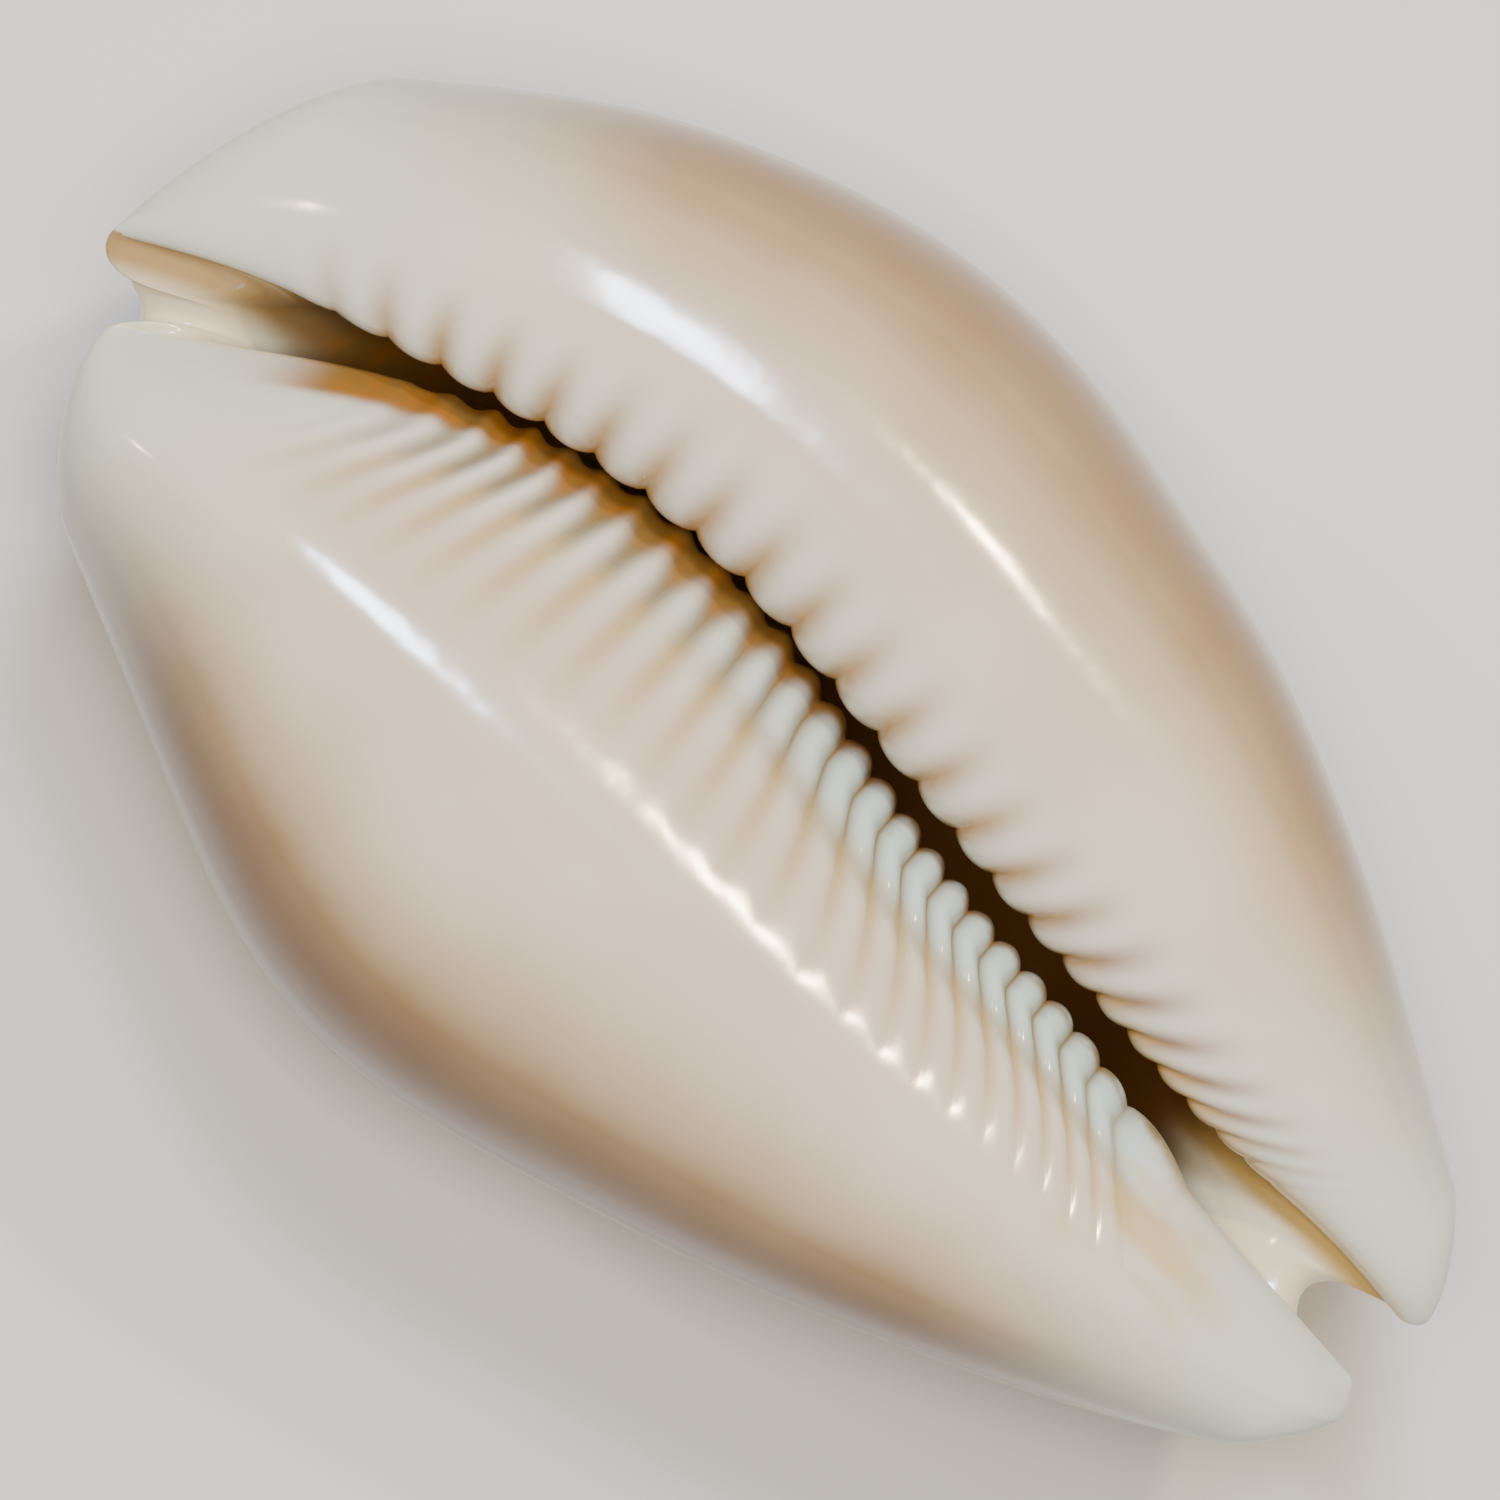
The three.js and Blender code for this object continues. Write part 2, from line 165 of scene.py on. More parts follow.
def outside_point(x, place):
    """The outside at a place round the section: inner lip's edge -1, back 0, outer 1."""
    part = np.abs(place)
    outer_crest = body_angle(x, outer_lip(x) + outer_roll_width(x))
    inner_crest = body_angle(x, inner_lip(x) - inner_roll_width(x)) - 2 * np.pi
    share = place / CREST
    odd = (outer_crest - inner_crest) / 2 * share
    even = (outer_crest + inner_crest + np.pi) / 2 * share**2
    angle = -np.pi / 2 + odd + even
    back = body_centre(x) + body_half_width(x) * np.cos(angle), body_height(x, angle)
    lip = lip_point(x, (part - CREST) / (1 - CREST), np.sign(place))
    return [np.where(part > CREST, on_lip, on_back) for on_lip, on_back in zip(lip, back)]


# The hollow is one smooth room, and both lips curl under into its wall.
hollow_outer = along_shell(-3.6, -1.15, 4, 12.4, 14.6, 15.2, 14.8, 13.4, 11.6, 8.4, 3.4, 1.3, 1)
hollow_inner = along_shell(
    -5.4, -1.8, -3, -11.6, -14.3, -15.2, -14.6, -13, -11, -8, -3.6, -2.4, -3
)
hollow_level = along_shell(
    24, 25.8, 20.4, 13.4, 12.4, 12, 12, 12.6, 13.8, 16, 23.6, 25.7, 24
)
hollow_floor = along_shell(
    23.4, 26, 14.5, 3.4, 2.2, 1.8, 2, 2.8, 4.6, 7, 21.8, 25.3, 23.2
)
outer_hollow_angle = along_shell(-45, -45, 20, 50, 50, 50, 50, 50, 50, 50, 30, -20, -20)
inner_hollow_angle = along_shell(
    225, 225, 190, 165, 165, 165, 165, 165, 165, 165, 180, 200, 200
)
HOLLOW_ROOF = 0.9  # share of the room under the lips that the hollow takes
UNDERSIDE_CURL = 0.35  # length of the curve's handles under a lip, as a share of its reach


def hollow_wall(x, angle):
    """The hollow's wall at an angle, and the direction in which the wall runs there."""
    half_width = (hollow_outer(x) - hollow_inner(x)) / 2
    level = hollow_level(x)
    room = (lip_point(x, 1, 1)[1] + lip_point(x, 1, -1)[1]) / 2 - level
    height = np.where(np.sin(angle) > 0, HOLLOW_ROOF * room, level - hollow_floor(x))
    y = (hollow_outer(x) + hollow_inner(x)) / 2 + half_width * np.cos(angle)
    z = level + height * np.sin(angle)
    run_y = -half_width * np.sin(angle)
    run_z = height * np.cos(angle)
    length = np.hypot(run_y, run_z)
    return y, z, run_y / length, run_z / length


def inside_point(x, place):
    """The inside, in step with the outside: undersides of the lips, then the hollow."""
    part = np.abs(place)
    side = np.sign(place)
    share = place / CREST
    outer_angle = np.radians(outer_hollow_angle(x))
    inner_angle = np.radians(inner_hollow_angle(x))
    odd = (outer_angle - inner_angle + 2 * np.pi) / 2 * share
    even = (outer_angle + inner_angle - np.pi) / 2 * share**2
    hollow = hollow_wall(x, -np.pi / 2 + odd + even)[:2]
    edge = lip_point(x, 1, side)
    wall_y, wall_z, run_y, run_z = hollow_wall(x, np.where(side > 0, outer_angle, inner_angle))
    end_y, end_z = lip_end_run(x, side)
    handle = UNDERSIDE_CURL * np.hypot(edge[0] - wall_y, edge[1] - wall_z)
    t = np.clip((part - CREST) / (1 - CREST), 0, 1)
    weights = (1 - t) ** 3, 3 * t * (1 - t) ** 2, 3 * t**2 * (1 - t), t**3
    y_points = wall_y, wall_y + run_y * side * handle, edge[0] + end_y * handle, edge[0]
    z_points = wall_z, wall_z + run_z * side * handle, edge[1] + end_z * handle, edge[1]
    under_y = sum(weight * y for weight, y in zip(weights, y_points))
    under_z = sum(weight * z for weight, z in zip(weights, z_points))
    return np.where(part > CREST, under_y, hollow[0]), np.where(part > CREST, under_z, hollow[1])


# Each end has a canal, at whose rim the outside and the inside of the wall meet.
def round_section(*values):
    """A curve round the section: inner lip's edge (-1), back (0), outer lip's edge (1)."""
    return rail(-1, 2 / (len(values) - 1), values)


SPIRE_END = {
    "x": round_section(-26.8, -27.6, -28, -26.4, -28.2, -28.9, -29.9, -30.1, -28.4),
    "rim_length": round_section(3, 3, 3, 4, 5, 4, 2.4, 2.2, 2),
    "rim_place": round_section(0.2, 0.2, 0.3, 0.2, 0.1, 0.15, 0.3, 0.65, 0.5),
}
FRONT_END = {
    "x": round_section(29.2, 30, 30.1, 27.4, 25.3, 27.6, 30, 29.9, 28.9),
    "rim_length": round_section(2, 2, 2, 1.5, 1.2, 1.5, 2, 2, 2),
    "rim_place": round_section(0.4, 0.45, 0.4, 0.2, 0.1, 0.2, 0.5, 0.5, 0.45),
}

# Stations along the shell are counted in teeth: whole numbers are the grooves between them,
# and they lean on both lips.
TEETH = 26
END_SPAN = 9  # stations from the last groove to an end's rim


def along_teeth(*values):
    """A curve over the grooves, with a value at every second one."""
    return rail(0, 2, values)


outer_groove = along_teeth(
    -24.2, -20.2, -16.2, -12.3, -7.8, -3.1, 1.7, 6, 9.9, 13.5, 16.7, 19.8, 22.6, 24.6
)
inner_groove = along_teeth(
    -19.8, -16.4, -13.7, -10.7, -7.2, -3.6, -0.5, 2.7, 5.6, 8.3, 11.1, 13.8, 17, 20.5
)
outer_lean = along_teeth(
    -1, -0.8, -0.5, -0.25, 0, 0.2, 0.4, 0.7, 1, 1.4, 1.8, 1.8, 1.2, 0.8
)
inner_lean = along_teeth(
    -1, -0.8, -0.6, -0.4, -0.1, 0.1, 0.5, 1, 1.3, 1.4, 1.5, 1.5, 1.3, 1
)
OUTER_LEAN_REACH = 3
INNER_LEAN_START = 1
INNER_LEAN_REACH = 3.6
INNER_LEAN_POWER = 1.3  # how gently the inner grooves begin to lean
OUTER_ROLL = 5  # width of each roll as the teeth measure it
INNER_ROLL = 8.6


def smoothstep(value, low, high):
    t = np.clip((value - low) / (high - low), 0, 1)
    return t * t * (3 - 2 * t)


def edge_distance(place):
    """Distance from the edge of a lip, seen from above, at a place round the section."""
    part = np.maximum((np.abs(place) - CREST) / (1 - CREST), 0)
    return np.where(place > 0, OUTER_ROLL, INNER_ROLL) * (1 - quarter_sine(part, place))


def station_place(station, place, inside):
    """The x of a station, which follows the leaning grooves on the lips."""
    tooth = np.clip(station, 0, TEETH)
    lean = np.where(inside, 0, 1)
    distance = edge_distance(place)
    outer_shift = OUTER_LEAN_REACH * (1 - np.exp(-distance / OUTER_LEAN_REACH))
    beyond = np.maximum(distance - INNER_LEAN_START, 0) / INNER_LEAN_REACH
    inner_shift = INNER_LEAN_REACH * (1 - np.exp(-(beyond**INNER_LEAN_POWER)))
    outer_x = outer_groove(tooth) + lean * outer_lean(tooth) * outer_shift
    inner_x = inner_groove(tooth) + lean * inner_lean(tooth) * inner_shift
    x = mix(inner_x, outer_x, smoothstep(place, -CREST, CREST))
    end_x = np.where(station < 0, SPIRE_END["x"](place), FRONT_END["x"](place))
    left = 1 - np.abs(station - tooth) / END_SPAN
    return mix(end_x, x, left**2)


def rim_value(x, place, name):
    return np.where(x < 0, SPIRE_END[name](place), FRONT_END[name](place))


def section_place(loop):
    """Place round the section, and whether it is inside, at a share of the whole loop."""
    turn = (loop + 1) % 1
    inside = turn >= 0.5
    return np.where(inside, 4 * turn - 3, 1 - 4 * turn), inside


def smooth_surface(loop, station):
    """The shell without teeth. Loop runs 0 to 0.5 on the outside and on to 1 inside."""
    place, inside = section_place(loop)
    x = station_place(station, place, inside)
    outer = outside_point(x, place)
    inner = inside_point(x, place)
    distance = np.abs(rim_value(x, place, "x") - x)
    share = np.clip(distance / rim_value(x, place, "rim_length"), 0, 1)
    opening = np.sqrt(1 - (1 - share) ** 2)
    section = []
    for out, back in zip(outer, inner):
        rim = mix(back, out, rim_value(x, place, "rim_place"))
        section.append(mix(rim, np.where(inside, back, out), opening))
    return np.stack([x, section[0], np.maximum(section[1], GROUND)], -1)


# The teeth. Each reach is a pair of distances from the lip's edge, between which a form
# comes up or dies out. On the inner lip the spire half has long ridges, and the front half
# has lumps with a furrow and low ridges behind them.
outer_tooth_height = along_teeth(
    0, 0.3, 0.4, 0.45, 0.45, 0.45, 0.42, 0.4, 0.4, 0.38, 0.35, 0.25, 0, 0
)
inner_tooth_height = along_teeth(
    0, 0.3, 0.35, 0.35, 0.35, 0.4, 0.45, 0.5, 0.5, 0.45, 0.4, 0.35, 0.25, 0
)
TOOTH_LEVEL = 0.7  # share of a tooth's height that lies below the smooth surface
BROAD = 0.7  # powers of the sine that shapes a tooth: broad with a narrow groove,
SLENDER = 2.4  # or slender with a broad one
OUTER_TOOTH_REACH = (-0.8, 2.8)
SPIRE_RIDGE_REACH = (0.8, 5.5)
FRONT_LUMP_REACH = (1.4, 2.5)
FRONT_HALF = (6, 14)  # stations over which ridges turn to lumps
LOW_RIDGE_START = (1.8, 2.8)
LOW_RIDGE_REACH = (3, 7)
LOW_RIDGE_SHARE = 0.35
FURROW_PLACE = 2.4
FURROW_WIDTH = 0.5
FURROW_SHARE = 0.45
UNDERSIDE = 10
UNDERSIDE_REACH = (0.5, 3.5)
TERMINAL_RIDGE = 24  # station at which the inner lip's last, double ridge begins
TERMINAL_HEIGHT = 0.25
TERMINAL_REACH = (0, 2.2)

# What the teeth tell the colours: ochre with painted shade in the grooves, deepening with the
# teeth, a pale tint with a painted bluish reflection on the lumps, and painted shade in the
# furrow.
OUTER_TINT_POWER = 1.6
OUTER_TINT_REACH = (0, 4.2)
LOW_TINT_POWER = 1.9
INNER_TINT_FADE = 1.5
INNER_TINT_REACH = (1, 7.5)
LOW_TINT_START = (1.8, 3)
LUMP_TINT_REACH = (1.8, 2.6)
# Painted shade: a groove's colour grows with the height of its teeth.
FULL_TOOTH = 1 / 3  # height from which a tooth's groove has its full colour
FULL_LUMP = 0.2


def tooth_shape(phase, power):
    return np.abs(np.sin(np.pi * phase)) ** power


def tooth_lift(place, inside, station):
    """How far the teeth lift the surface, and the values that their colours read."""
    part = (np.abs(place) - CREST) / (1 - CREST)
    distance = edge_distance(place)
    below = (1 - part) * UNDERSIDE
    under = np.where(inside, 1 - smoothstep(below, *UNDERSIDE_REACH), 1)
    on_lip = (part > 0) & (station > 0) & (station < TEETH)

    outer_shape = tooth_shape(station, BROAD)
    outer_reach = (1 - smoothstep(distance, *OUTER_TOOTH_REACH)) ** 2
    outer = outer_tooth_height(station) * (outer_shape - TOOTH_LEVEL) * outer_reach

    front = smoothstep(station, *FRONT_HALF)
    terminal = station > TERMINAL_RIDGE
    phase = np.where(terminal, (station - TERMINAL_RIDGE) / 2, station)
    inner_shape = tooth_shape(phase, mix(SLENDER, BROAD, front))
    reach = [mix(spire, lump, front) for spire, lump in zip(SPIRE_RIDGE_REACH, FRONT_LUMP_REACH)]
    near = 1 - smoothstep(distance, *reach)
    beyond = smoothstep(distance, *LOW_RIDGE_START) * (1 - smoothstep(distance, *LOW_RIDGE_REACH))
    furrow = front * np.exp(-(((distance - FURROW_PLACE) / FURROW_WIDTH) ** 2))
    ridges = near + LOW_RIDGE_SHARE * beyond * front
    inner = (inner_shape - TOOTH_LEVEL) * ridges - FURROW_SHARE * furrow
    inner = inner_tooth_height(station) * inner
    ridge = tooth_shape(phase, BROAD) * (1 - smoothstep(distance, *TERMINAL_REACH))
    inner = np.where(terminal, inner + TERMINAL_HEIGHT * ridge, inner)
    lift = np.where(place > 0, outer, inner) * under * on_lip

    # Painted shade in the grooves, on the shell's own ochre: the tint follows each groove's
    # shape.
    outer_tint = 1 - tooth_shape(station, OUTER_TINT_POWER)
    outer_tint = outer_tint * (1 - smoothstep(distance, *OUTER_TINT_REACH))
    front_power = mix(BROAD, LOW_TINT_POWER, smoothstep(distance, *LOW_TINT_START))
    inner_tint = (1 - tooth_shape(phase, mix(SLENDER, front_power, front))) ** INNER_TINT_FADE
    inner_tint = inner_tint * (1 - smoothstep(distance, *INNER_TINT_REACH))
    height = np.where(place > 0, outer_tooth_height(station), inner_tooth_height(station))
    strength = np.clip(height / FULL_TOOTH, 0, 1) * on_lip
    # Painted reflection: a bluish tint on the lumps, over their own whiter colour.
    lump = (1 - smoothstep(distance, *LUMP_TINT_REACH)) * front * smoothstep(height, 0, FULL_LUMP)
    values = {
        "groove": np.where(place > 0, outer_tint, inner_tint) * strength,
        "lump": lump * on_lip * (place < 0),
        # Painted shade: the furrow's darker colour.
        "furrow": furrow * strength * (place < 0),
    }
    return lift, values


# The slit is brown below a depth, and over the edge of the inner lip in the spire half:
# partly the shell's own brown, partly painted shade and glow deep in the slit.
# Under the outer lip a tan strip runs along the wall, partly painted shade under the lip.
wall_width = along_shell(1.7, 2.1, 2.4, 2.2, 1, 1, 1, 1, 1, 0.8, 1, 1.1, 1)
brown_and_shade_depth = along_shell(9, 7, 4, 3.2, 3.2, 3.3, 3.6, 3.8, 3.6, 3.4, 3.8, 6, 7)
WALL_CORE = 0.4  # share of the strip's width that has its full colour
BROWN_FADE = 1.5
BROWN_SPIRE_END = (-23.5, -20.5)
BROWN_FRONT_END = (18, 21.5)
BROWN_TIPS = (0.5, 1)
BROWN_TIPS_END = (-5, 1)
NOT_ON_LIP = 20  # a distance from the lip's edge that is out of every colour's reach
STEP = 1e-4  # of the loop and of a station, to find the surface's slope
TINY = 1e-12


def shell_surface(loop, station):
    """Points of the finished surface, with the values that the colours read."""
    place, inside = section_place(loop)
    lift, values = tooth_lift(place, inside, station)
    across = smooth_surface(loop + STEP, station) - smooth_surface(loop - STEP, station)
    along = smooth_surface(loop, station + STEP) - smooth_surface(loop, station - STEP)
    normal = np.cross(along, across)
    normal /= np.linalg.norm(normal, axis=-1, keepdims=True) + TINY
    points = smooth_surface(loop, station) + normal * lift[..., None]

    x, y, z = points[..., 0], points[..., 1], points[..., 2]
    distance = edge_distance(place)
    on_lip = np.abs(place) > CREST
    rise = (z - margin_height(x)) / (base_height(x) - margin_height(x))
    sunk = base_height(x) - z - brown_and_shade_depth(x)
    under = outer_lip(x) - y
    slit = smoothstep(x, *BROWN_SPIRE_END) * (1 - smoothstep(x, *BROWN_FRONT_END))
    # Painted shade: the slit turns brown below a depth.
    deep = np.where(inside | on_lip, smoothstep(sunk, 0, BROWN_FADE), 0)
    tips = np.where(inside, 1, 1 - smoothstep(distance, *BROWN_TIPS)) * (place < -CREST)
    tips = tips * (1 - smoothstep(x, *BROWN_TIPS_END))
    # Painted shade: the tan strip under the outer lip, on the wall's own tan.
    wall = 1 - smoothstep(under, wall_width(x) * WALL_CORE, wall_width(x))
    values["edge"] = np.where(on_lip & ~inside, distance, NOT_ON_LIP)
    values["side"] = np.where(place > 0, 1, 0)
    values["rise"] = np.where(inside | on_lip, 1, rise)
    values["across"] = np.where(inside, 0, np.abs(y - body_centre(x)) / body_half_width(x))
    values["inside"] = np.where(inside, 1, 0)
    values["brown"] = np.maximum(deep, tips) * slit
    values["wall"] = np.where(inside, wall, 0)
    return points, values


# The mesh is one grid over the loop and the stations, closed along the outer lip's edge and
# at both rims. It is finest on the lips.
LIP_STEPS = 42
BACK_STEPS = 44
TOOTH_STEPS = 9
END_STEPS = 40
MERGE_DISTANCE = 1e-7


def loop_marks():
    """Places of the grid lines round the loop, from 0 to 1."""
    outer = np.linspace(1, CREST, LIP_STEPS + 1)[:-1]
    back = np.linspace(CREST, -CREST, BACK_STEPS + 1)[:-1]
    inner = np.linspace(-CREST, -1, LIP_STEPS + 1)
    place = np.concatenate([outer, back, inner])
    outside = (1 - place) / 4
    return np.concatenate([outside, 1 - outside[-2::-1]])


def station_marks():
    """Places of the grid lines along the shell, counted in teeth."""
    spire = np.linspace(-END_SPAN, 0, END_STEPS + 1)[:-1]
    teeth = np.linspace(0, TEETH, TEETH * TOOTH_STEPS + 1)
    front = np.linspace(TEETH, TEETH + END_SPAN, END_STEPS + 1)[1:]
    return np.concatenate([spire, teeth, front])


def make_shell():
    loops = loop_marks()
    stations = station_marks()
    columns = len(loops) - 1
    rows = len(stations) - 1
    grid = bmesh.new()
    bmesh.ops.create_grid(grid, x_segments=columns, y_segments=rows, size=1)
    corner = np.array([vertex.co[:2] for vertex in grid.verts])
    column = np.rint((corner[:, 0] + 1) / 2 * columns).astype(int)
    row = np.rint((corner[:, 1] + 1) / 2 * rows).astype(int)
    points, values = shell_surface(loops[column], stations[row])
    layers = {name: grid.verts.layers.float.new(name) for name in values}
    for index, vertex in enumerate(grid.verts):
        vertex.co = points[index] * MM
        for name, layer in layers.items():
            vertex[layer] = values[name][index]
    bmesh.ops.remove_doubles(grid, verts=grid.verts, dist=MERGE_DISTANCE)
    bmesh.ops.recalc_face_normals(grid, faces=grid.faces)
    for face in grid.faces:
        face.smooth = True
    mesh = bpy.data.meshes.new("cowrie_shell")
    grid.to_mesh(mesh)
    grid.free()
    shell = bpy.data.objects.new("cowrie_shell", mesh)
    bpy.context.scene.collection.objects.link(shell)
    return shell


def colour(code):
    """A hex sRGB colour as linear RGBA."""
    parts = [int(code[i : i + 2], 16) / 255 for i in (1, 3, 5)]
    linear = [c / 12.92 if c <= 0.04045 else ((c + 0.055) / 1.055) ** 2.4 for c in parts]
    return (*linear, 1)


def add(tree, kind, inputs=None, **settings):
    """Adds a node, sets it up and fills its inputs with values, hex colours or sockets."""
    node = tree.nodes.new(kind)
    for name, value in settings.items():
        setattr(node, name, value)
    for name, value in (inputs or {}).items():
        if isinstance(value, bpy.types.NodeSocket):
            tree.links.new(value, node.inputs[name])
        else:
            node.inputs[name].default_value = colour(value) if isinstance(value, str) else value
    return node


SPOT_LEAST = 0.3  # the smallest spot, as a share of the largest
SPOT_BLUR = 0.02
STREAK_TURN = 0.35
STREAK_STRETCH = 0.25
ROUGHNESS = 0.13
RIPPLE_DEPTH = 0.02


def enamel():
    """Aragonite enamel, which the animal's mantle covers, colours and keeps polished.

    It looks like glazed porcelain: sharp reflections, unsteadied by a faint ripple, on
    cream that turns to fawn and brown down the sides and to ochre and brown in the slit.
    Painted shade, over the shell's own colours, darkens the sides towards the outline and on
    the inner side, the grooves, the furrow, the wall under the outer lip and the deep slit,
    and a painted bluish reflection lies on the lumps.
    """
    material = bpy.data.materials.new("shell_enamel")
    material.use_nodes = True
    tree = material.node_tree
    shader = tree.nodes["Principled BSDF"]
    spot = add(tree, "ShaderNodeTexCoord").outputs["Object"]
    x, y = add(tree, "ShaderNodeSeparateXYZ", {0: spot}).outputs[:2]
    along = add(tree, "ShaderNodeCombineXYZ", {0: x}).outputs[0]
    lengthways = {0: spot, 2: (0, 0, STREAK_TURN), 3: (STREAK_STRETCH, 1, 1)}
    stretched = add(tree, "ShaderNodeMapping", lengthways).outputs[0]

    # All that a colour can follow: the values that the mesh carries, places in metres,
    # and cloudy patterns whose clouds have the given size in millimetres.
    follow = {"x": x, "y": y}
    follow["from middle"] = add(tree, "ShaderNodeMath", {0: x}, operation="ABSOLUTE").outputs[0]
    for name in (
        "groove", "lump", "furrow", "edge", "side", "rise", "across", "inside", "brown", "wall",
    ):
        follow[name] = add(tree, "ShaderNodeAttribute", attribute_name=name).outputs["Fac"]
    for name, place, size in (
        ("pinkish clouds", spot, 8.333),
        ("back clouds", spot, 5.556),
        ("flank clouds", spot, 6.667),
        ("back bands", along, 11.111),
        ("streaks", stretched, 1.923),
        ("mottling clouds", spot, 1.111),
        ("slit clouds", spot, 1.429),
        ("ripple", spot, 2.381),
    ):
        inputs = {"Vector": place, "Scale": 1 / (size * MM), "Detail": 2}
        follow[name] = add(tree, "ShaderNodeTexNoise", inputs).outputs["Fac"]
    for name, clouds, share, value in (
        ("uneven rise", "back clouds", 0.2, "rise"),
        ("uneven across", "flank clouds", 0.1, "across"),
    ):
        inputs = {0: follow[clouds], 1: share, 2: follow[value]}
        follow[name] = add(tree, "ShaderNodeMath", inputs, operation="MULTIPLY_ADD").outputs[0]

    # Milky spots of unequal sizes on the back, up to a share of their spacing in millimetres.
    for name, spacing, largest in (("large spots", 5.263, 0.42), ("small spots", 2.941, 0.4)):
        inputs = {"Vector": spot, "Scale": 1 / (spacing * MM), "Randomness": 0.8}
        cell = add(tree, "ShaderNodeTexVoronoi", inputs)
        chance = add(tree, "ShaderNodeSeparateColor", {0: cell.outputs["Color"]}).outputs[0]
        inputs = {0: chance, 1: (1 - SPOT_LEAST) * largest, 2: SPOT_LEAST * largest}
        radius = add(tree, "ShaderNodeMath", inputs, operation="MULTIPLY_ADD").outputs[0]
        inputs = {0: radius, 1: cell.outputs["Distance"]}
        follow[name] = add(tree, "ShaderNodeMath", inputs, operation="SUBTRACT").outputs[0]

    # Each mask rises smoothly from 0 to 1 as what it follows goes from one value to another.
    ready = ("groove", "lump", "furrow", "side", "inside", "wall", "brown")
    mask = {name: follow[name] for name in ready}
    for name, value, low, high in (
        ("clouds", "pinkish clouds", 0.35, 0.65),
        ("beside the slit", "edge", 4.8, 1),
        ("sides", "uneven across", 0.5, 1),
        ("margins", "uneven across", 0.78, 1.03),
        ("bands", "back bands", 0.4, 0.6),
        ("to the back", "uneven rise", 0.3, -0.2),
        ("on the back", "uneven rise", 0.15, -0.1),
        ("large spots", "large spots", -SPOT_BLUR, SPOT_BLUR),
        ("small spots", "small spots", -SPOT_BLUR, SPOT_BLUR),
        ("ends", "from middle", 15 * MM, 29 * MM),
        ("above the back", "rise", -0.3, 0.6),
        ("front half", "x", -6 * MM, 2 * MM),
        ("front third", "x", 6 * MM, 16 * MM),
        ("front canal", "x", 8 * MM, 18 * MM),
        ("before the canal", "x", 22 * MM, 18 * MM),
        ("streaks", "streaks", 0.42, 0.62),
        ("streaks begin", "x", 16.5 * MM, 18.5 * MM),
        ("streaks end", "x", 25.5 * MM, 22 * MM),
        ("streaks' slit side", "y", 0.5 * MM, -0.5 * MM),
        ("streaks' far side", "y", -6.5 * MM, -4 * MM),
        ("lump grooves", "edge", 3, 1.8),
        ("outer lip's edge", "edge", 1.2, 0),
        ("inner lip's edge", "edge", 0.5, 0.1),
        ("inner lip", "side", 1, 0),
        ("mottled", "mottling clouds", 0.3, 0.6),
        ("front wall", "x", 0, 10 * MM),
        ("slit clouds", "slit clouds", 0.35, 0.65),
        ("front slit", "x", -6 * MM, 4 * MM),
    ):
        inputs = {"Value": follow[value], "From Min": low, "From Max": high}
        ramp = add(tree, "ShaderNodeMapRange", inputs, interpolation_type="SMOOTHSTEP")
        mask[name] = ramp.outputs[0]

    # Tones that go from one colour to another under a mask.
    tone = {}
    for name, share, first, second in (
        ("cream", "clouds", "#dccdb8", "#d3c2ac"),
        # Painted shade on the shell's own fawn and brown: the sides and margins darken towards
        # the outline, and more on the inner side.
        ("shaded fawn sides", "side", "#a88a60", "#b99a70"),
        ("shaded brown margins", "side", "#704c28", "#96703e"),
        ("fawn back", "bands", "#a87440", "#9a6634"),
        ("outer ochre", "front third", "#a8834c", "#865a22"),
        # Painted shade between the ridges near the lip's edge, on their own olive-brown.
        ("olive and shade by the edge", "front half", "#857a5a", "#7c6c46"),
        ("inner ochre", "lump grooves", "#b99856", "olive and shade by the edge"),
        ("ochre", "side", "inner ochre", "outer ochre"),
        # Painted shade under the outer lip, on the wall's own tan.
        ("shaded tan wall", "front wall", "#a88a5c", "#b89a5c"),
        # Painted shade and glow in the slit, over the shell's own brown.
        ("spire brown and shade", "slit clouds", "#8c6a34", "#a06a2a"),
        ("slit brown and shade", "front slit", "spire brown and shade", "#7a5228"),
    ):
        inputs = {0: mask[share], 6: tone.get(first, first), 7: tone.get(second, second)}
        tone[name] = add(tree, "ShaderNodeMix", inputs, data_type="RGBA").outputs[2]

    # The coats from the first to the last, each with the masks that bound it and, at the
    # end, its strength where it is thin.
    coat = tone["cream"]
    for tint, *bounds in (
        ("#dad6c8", "beside the slit"),
        # Painted shade over the sides' and margins' own fawn and brown: darker towards the
        # outline and on the inner side.
        ("shaded fawn sides", "sides"),
        ("shaded brown margins", "margins"),
        ("fawn back", "to the back"),
        ("#e9e2d2", "large spots", "on the back"),
        ("#e3d8c4", "small spots", "on the back"),
        ("#d2d4c6", "ends", "above the back"),
        # Painted bluish reflection on the lumps of the front half, over their own whiter colour.
        ("#c6d4cc", "lump"),
        # Painted shade: darker olive in the furrow behind the lumps.
        ("#8f8560", "furrow", 0.55),
        ("#cfb47e", "streaks begin", "streaks end", "streaks' slit side", "streaks' far side",
         "streaks", 0.75),
        ("#ddd3b4", "inside"),
        # Painted shade in the grooves, partly the shell's own ochre.
        ("ochre", "groove"),
        ("#c9a55c", "outer lip's edge", "side", "front canal", 0.6),
        # Mottled brown along the inner lip's edge in the front half.
        ("#8f6c38", "inner lip's edge", "inner lip", "front half", "before the canal",
         "mottled", 0.8),
        # Painted shade: the tan strip on the wall under the outer lip.
        ("shaded tan wall", "wall"),
        # Painted shade and glow: brown deep in the slit, partly the shell's own brown.
        ("slit brown and shade", "brown"),
    ):
        share = mask[bounds[0]]
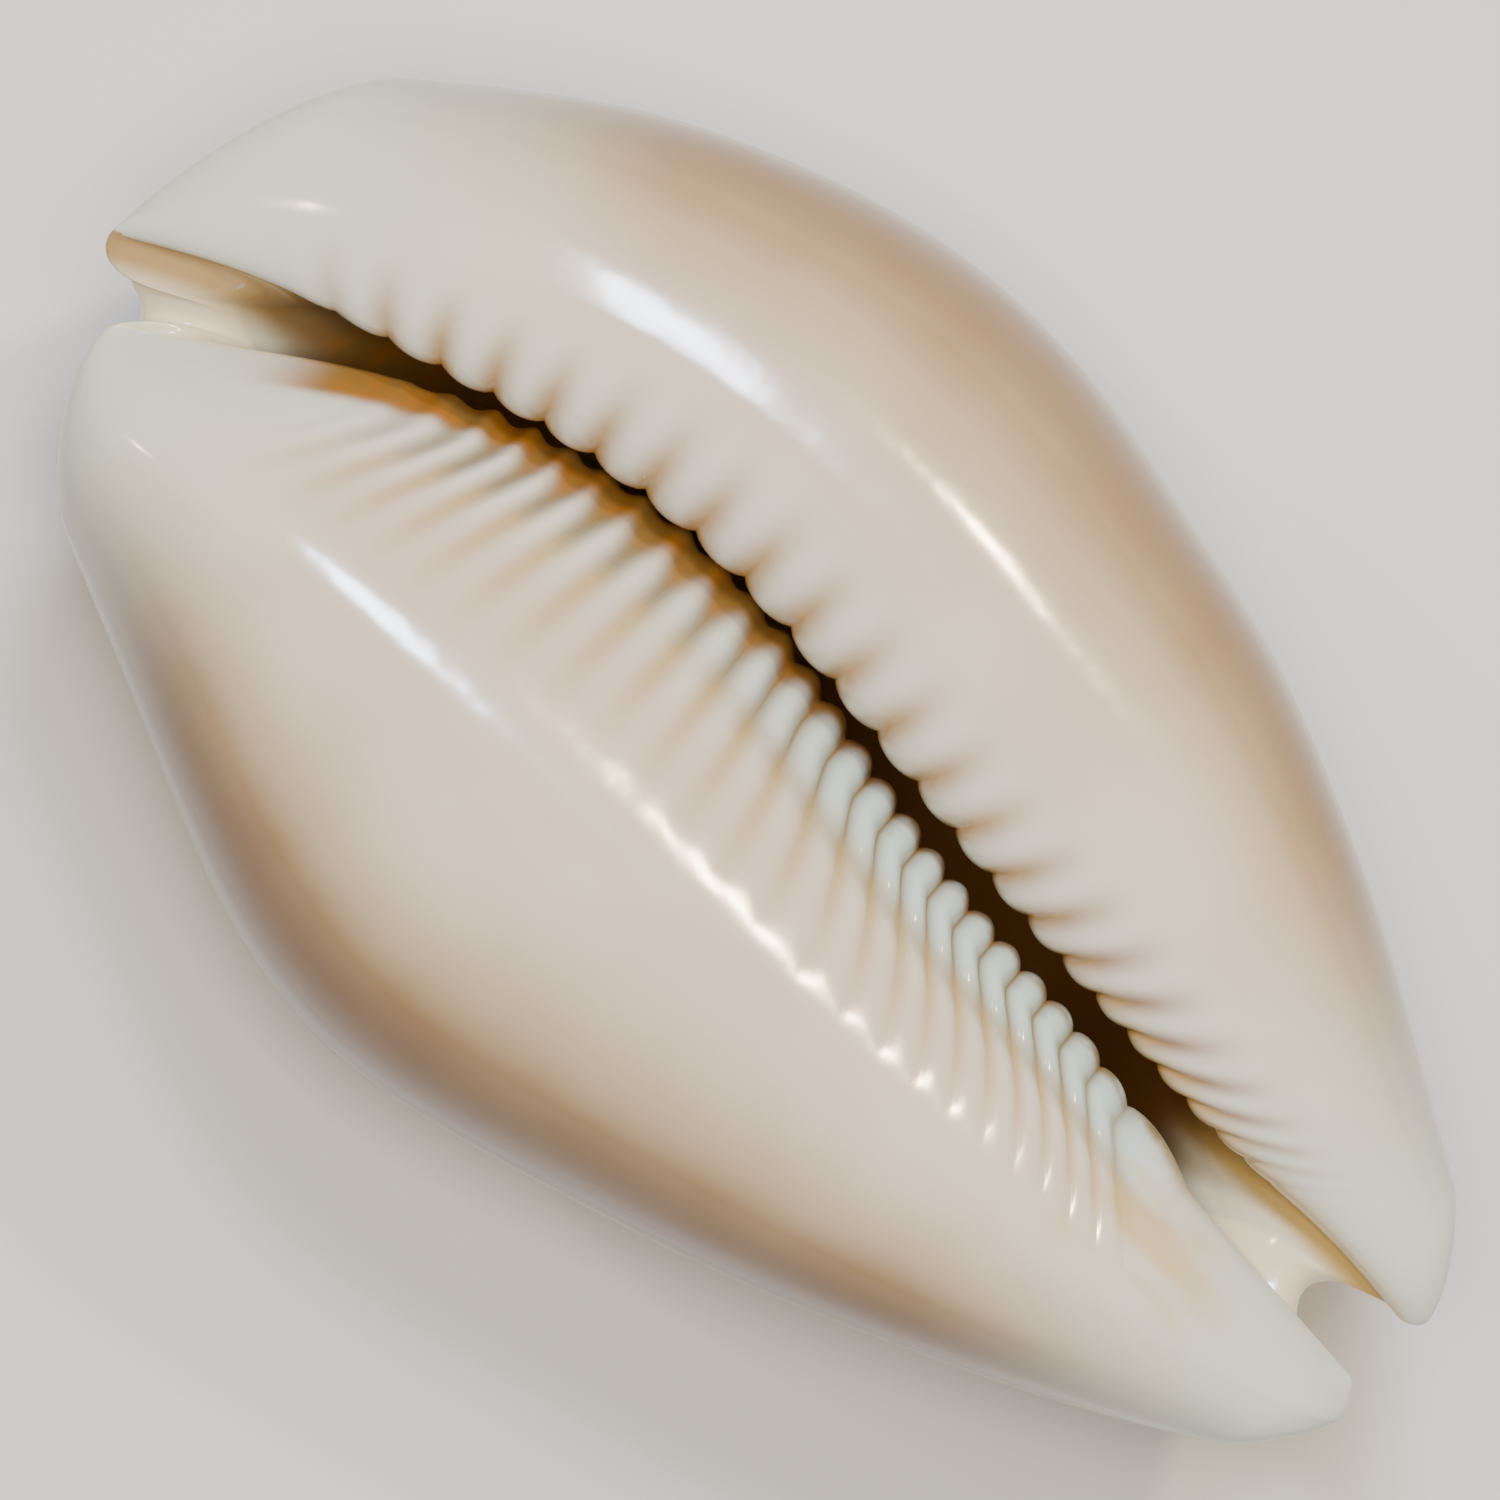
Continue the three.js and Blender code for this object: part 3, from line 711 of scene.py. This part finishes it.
        for bound in bounds[1:]:
            inputs = {0: share, 1: mask.get(bound, bound)}
            share = add(tree, "ShaderNodeMath", inputs, operation="MULTIPLY").outputs[0]
        inputs = {0: share, 6: coat, 7: tone.get(tint, tint)}
        coat = add(tree, "ShaderNodeMix", inputs, data_type="RGBA").outputs[2]

    tree.links.new(coat, shader.inputs["Base Color"])
    shader.inputs["Roughness"].default_value = ROUGHNESS
    inputs = {"Height": follow["ripple"], "Distance": RIPPLE_DEPTH * MM}
    ripple = add(tree, "ShaderNodeBump", inputs).outputs["Normal"]
    tree.links.new(ripple, shader.inputs["Normal"])
    return material


shell = make_shell()
shell.data.materials.append(enamel())
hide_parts("shell")
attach(shell, "root")

# The floor is a plain, pale and matt board that the shell lies on. It is far larger than the
# shell, so its edges stay out of the picture.
FLOOR_SIZE = 4

bpy.ops.mesh.primitive_plane_add(size=FLOOR_SIZE, location=(0, 0, 0))
floor = bpy.context.object
floor.name = "floor"
board = bpy.data.materials.new("matt_pale_board")
board.use_nodes = True
board_shader = board.node_tree.nodes["Principled BSDF"]
board_shader.inputs["Base Color"].default_value = colour("#dcdbd8")
board_shader.inputs["Roughness"].default_value = 0.7
floor.data.materials.append(board)

# The camera looks straight down on the base, turned so that the spire end is at the upper
# left and the front end at the lower right. Its lens frames the shell at its margins.
CAMERA_HEIGHT = 0.6
FRAME_WIDTH = 0.0531
MARGIN_LEVEL = 0.019

camera = bpy.data.objects.new("camera", bpy.data.cameras.new("camera"))
camera.location = (-0.00116, -0.00011, MARGIN_LEVEL + CAMERA_HEIGHT)
camera.rotation_euler = (0, 0, math.radians(43))
camera.data.lens = camera.data.sensor_width * CAMERA_HEIGHT / FRAME_WIDTH
camera.data.clip_start = 0.01
bpy.context.scene.collection.objects.link(camera)
bpy.context.scene.camera = camera

# The lights are soft panels: a broad one overhead that lights the slit but isn't mirrored,
# and a window and two lamps whose reflections lie along both lips.
LIT_POINT = Vector((0, 0, 0.02))

for name, place, size, power, tint, mirrored in (
    ("overhead", (0, 0, 0.7), 0.16, 5, "#fff6ea", False),
    ("window", (-0.085, 0.16, 0.54), 0.07, 2.2, "#dce9ff", True),
    ("lamp", (0.03, 0.28, 0.5), 0.025, 1.3, "#ffe6bd", True),
    ("far_lamp", (-0.34, -0.04, 0.45), 0.014, 0.25, "#ffe6bd", True),
):
    panel = bpy.data.lights.new(name, "AREA")
    panel.size = size
    panel.energy = power
    panel.color = colour(tint)[:3]
    light = bpy.data.objects.new(name, panel)
    light.location = place
    light.visible_glossy = mirrored
    light.rotation_euler = (LIT_POINT - Vector(place)).to_track_quat("-Z", "Y").to_euler()
    bpy.context.scene.collection.objects.link(light)

world = bpy.data.worlds.new("studio")
world.use_nodes = True
world.node_tree.nodes["Background"].inputs["Color"].default_value = colour("#f2f2f2")
world.node_tree.nodes["Background"].inputs["Strength"].default_value = 0.1
bpy.context.scene.world = world
